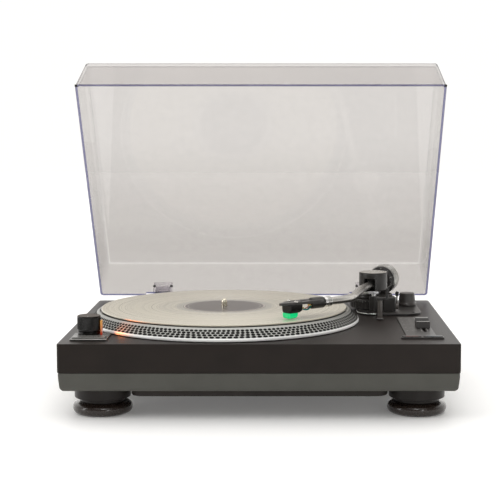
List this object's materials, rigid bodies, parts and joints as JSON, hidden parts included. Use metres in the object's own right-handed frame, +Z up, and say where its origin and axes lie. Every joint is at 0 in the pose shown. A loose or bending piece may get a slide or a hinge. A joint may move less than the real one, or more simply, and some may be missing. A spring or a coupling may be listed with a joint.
{
  "type": "turntable record player",
  "caption": "Direct-drive record player with an S-shaped tonearm, pitch slider, strobe tower, screw feet and a hinged clear dust cover shown open.",
  "frame": {"origin": "on the supporting surface, under the middle of the footprint of plinth and open cover", "axes": "+X to the right of someone facing the deck, +Y from the front edge to the hinges, +Z up"},
  "size_m": [0.45, 0.3915, 0.4027],
  "materials": {
    "cover_metal": "satin dark brown-black powder coat",
    "arm_metal": "satin black paint",
    "case_composite": "matte greenish grey moulded rubber composite",
    "base_plastic": "matte moulded plastic",
    "foot_plastic": "glossy brown-black moulded feet",
    "control_grey": "satin dark grey keys and bezels",
    "black_plastic": "satin black moulded plastic",
    "headshell_black": "black anodised aluminium",
    "strobe_orange": "translucent orange window",
    "platter_aluminium": "turned aluminium",
    "arm_aluminium": "satin silver anodised",
    "slipmat": "matte black mat",
    "record_vinyl": "pale silver-cream grooved vinyl",
    "label_paper": "plain grey paper label",
    "steel": "bright machined steel",
    "bearing_brass": "turned brass",
    "winding": "copper windings on steel laminations",
    "magnet": "sintered magnet",
    "cast_frame": "bare die casting",
    "board_green": "green circuit board",
    "plated_steel": "zinc plated sheet and laminations",
    "jack_white": "white moulded socket",
    "jack_red": "red moulded socket",
    "stylus_green": "bright translucent green plastic",
    "lead_wires": "coloured insulated fine wires",
    "clear_cover": "clear polished acrylic with a slight grey tint"
  },
  "bodies": {
    "plinth": {"top_cover": "cover_metal", "lower_case": "case_composite", "base_plate": "base_plastic", "main_board": "board_green", "power_transformer": "plated_steel", "motor_frame": "cast_frame", "motor_stator": "winding", "spindle_bearing": "bearing_brass", "rear_panel": "base_plastic", "output_jack_left": "jack_white", "output_jack_right": "jack_red", "ground_post": "steel", "mains_inlet": "black_plastic", "start_stop_bezel": "control_grey", "strobe_tower": "black_plastic", "strobe_lens": "strobe_orange", "pitch_plate": "cover_metal", "pitch_potentiometer": "plated_steel", "speed_key_bezel": "control_grey", "arm_base_plate": "arm_metal", "arm_rest_post": "black_plastic", "hinge_bracket_left": "cover_metal", "hinge_bracket_right": "cover_metal"},
    "platter": {"platter": "platter_aluminium", "slipmat": "slipmat", "record": "record_vinyl", "record_label": "label_paper", "spindle": "steel", "rotor_magnet": "magnet"},
    "start_stop_button": {"start_stop_button": "control_grey"},
    "power_knob": {"power_knob": "black_plastic"},
    "speed_key_33": {"speed_key_33": "control_grey"},
    "speed_key_45": {"speed_key_45": "control_grey"},
    "pitch_slider": {"pitch_slider": "black_plastic"},
    "height_ring": {"height_ring": "black_plastic"},
    "arm_tower": {"arm_tower": "arm_metal"},
    "anti_skate_knob": {"anti_skate_knob": "black_plastic"},
    "cue_platform": {"cue_platform": "steel"},
    "cue_lever": {"cue_lever": "steel"},
    "arm_clip": {"arm_clip": "black_plastic"},
    "gimbal": {"gimbal_housing": "arm_metal", "tilt_axle": "steel"},
    "tonearm": {"gimbal_block": "steel", "tonearm_tube": "arm_aluminium", "headshell": "headshell_black", "cartridge_screw_left": "steel", "cartridge_screw_right": "steel", "cartridge_body": "black_plastic", "stylus_holder": "stylus_green", "headshell_leads": "lead_wires"},
    "headshell_collar": {"headshell_collar": "arm_aluminium"},
    "counterweight": {"counterweight": "arm_aluminium"},
    "force_dial": {"force_dial": "black_plastic"},
    "lid": {"dust_cover": "clear_cover", "hinge_tongue_left": "cover_metal", "hinge_tongue_right": "cover_metal"},
    "foot_front_left": {"foot_front_left": "foot_plastic"},
    "foot_front_right": {"foot_front_right": "foot_plastic"},
    "foot_rear_left": {"foot_rear_left": "foot_plastic"},
    "foot_rear_right": {"foot_rear_right": "foot_plastic"}
  },
  "joints": [
    {"name": "platter_spin", "type": "hinge", "parent": "plinth", "child": "platter", "pos_m": [-0.046, -0.02197, 0.0965], "axis": [0, 0, 1], "continuous": true},
    {"name": "lid_hinge", "type": "hinge", "parent": "plinth", "child": "lid", "pos_m": [0, 0.15853, 0.0871], "axis": [-1, 0, 0], "range_deg": [-55, 0]},
    {"name": "start_stop_press", "type": "slide", "parent": "plinth", "child": "start_stop_button", "axis": [0, 0, -1], "range_m": [0, 0.0012], "stiffness_N_per_m": 300, "springref_m": -0.001},
    {"name": "power_knob_turn", "type": "hinge", "parent": "plinth", "child": "power_knob", "pos_m": [-0.1958, -0.14247, 0.1015], "axis": [0, 0, 1], "range_deg": [0, 60]},
    {"name": "speed_key_33_press", "type": "slide", "parent": "plinth", "child": "speed_key_33", "axis": [0, 0, -1], "range_m": [0, 0.001], "stiffness_N_per_m": 300, "springref_m": -0.001},
    {"name": "speed_key_45_press", "type": "slide", "parent": "plinth", "child": "speed_key_45", "axis": [0, 0, -1], "range_m": [0, 0.001], "stiffness_N_per_m": 300, "springref_m": -0.001},
    {"name": "pitch_slide", "type": "slide", "parent": "plinth", "child": "pitch_slider", "axis": [0, -1, 0], "range_m": [-0.069, 0.031]},
    {"name": "height_ring_turn", "type": "hinge", "parent": "plinth", "child": "height_ring", "pos_m": [0.144, 0.07403, 0.0955], "axis": [0, 0, 1], "range_deg": [0, 300]},
    {"name": "arm_height_lift", "type": "slide", "parent": "plinth", "child": "arm_tower", "axis": [0, 0, 1], "range_m": [0, 0.006]},
    {"name": "tonearm_swing", "type": "hinge", "parent": "arm_tower", "child": "gimbal", "pos_m": [0.144, 0.07403, 0.1197], "axis": [0, 0, 1], "range_deg": [-22, 17.6]},
    {"name": "cue_lever_turn", "type": "hinge", "parent": "arm_tower", "child": "cue_lever", "pos_m": [0.1722, 0.03703, 0.0955], "axis": [1, 0, 0], "range_deg": [0, 60]},
    {"name": "cue_platform_lift", "type": "slide", "parent": "arm_tower", "child": "cue_platform", "axis": [0, 0, 1], "range_m": [0, 0.0022]},
    {"name": "tonearm_tilt", "type": "hinge", "parent": "gimbal", "child": "tonearm", "pos_m": [0.144, 0.07403, 0.1197], "axis": [-0.9455, 0.3256, 0], "range_deg": [0, 2.6]},
    {"name": "counterweight_slide", "type": "slide", "parent": "tonearm", "child": "counterweight", "axis": [0.3256, 0.9455, 0], "range_m": [-0.0015, 0.003]},
    {"name": "force_dial_turn", "type": "hinge", "parent": "counterweight", "child": "force_dial", "pos_m": [0.15702, 0.11185, 0.1197], "axis": [0.3256, 0.9455, 0], "range_deg": [-180, 360]},
    {"name": "headshell_collar_turn", "type": "hinge", "parent": "tonearm", "child": "headshell_collar", "pos_m": [0.07331, -0.09649, 0.1197], "axis": [-0.7698, -0.6382, 0], "range_deg": [0, 60]},
    {"name": "anti_skate_turn", "type": "hinge", "parent": "plinth", "child": "anti_skate_knob", "pos_m": [0.1895, 0.08703, 0.0965], "axis": [0, 0, 1], "range_deg": [0, 270]},
    {"name": "arm_clip_close", "type": "hinge", "parent": "plinth", "child": "arm_clip", "pos_m": [0.1546, -0.01847, 0.1243], "axis": [0, 1, 0], "range_deg": [-125, 0]},
    {"name": "foot_front_left_height", "type": "slide", "parent": "plinth", "child": "foot_front_left", "axis": [0, 0, 1], "range_m": [-0.006, 0]},
    {"name": "foot_front_right_height", "type": "slide", "parent": "plinth", "child": "foot_front_right", "axis": [0, 0, 1], "range_m": [-0.006, 0]},
    {"name": "foot_rear_left_height", "type": "slide", "parent": "plinth", "child": "foot_rear_left", "axis": [0, 0, 1], "range_m": [-0.006, 0]},
    {"name": "foot_rear_right_height", "type": "slide", "parent": "plinth", "child": "foot_rear_right", "axis": [0, 0, 1], "range_m": [-0.006, 0]}
  ],
  "couplings": [
    {"joint": "height_ring_turn", "follows": "arm_height_lift", "rad_per_m": 872.6},
    {"joint": "cue_platform_lift", "follows": "cue_lever_turn", "m_per_rad": 0.0021008},
    {"joint": "tonearm_tilt", "follows": "cue_lever_turn", "ratio": 0.04333},
    {"joint": "force_dial_turn", "follows": "counterweight_slide", "rad_per_m": 2094}
  ]
}
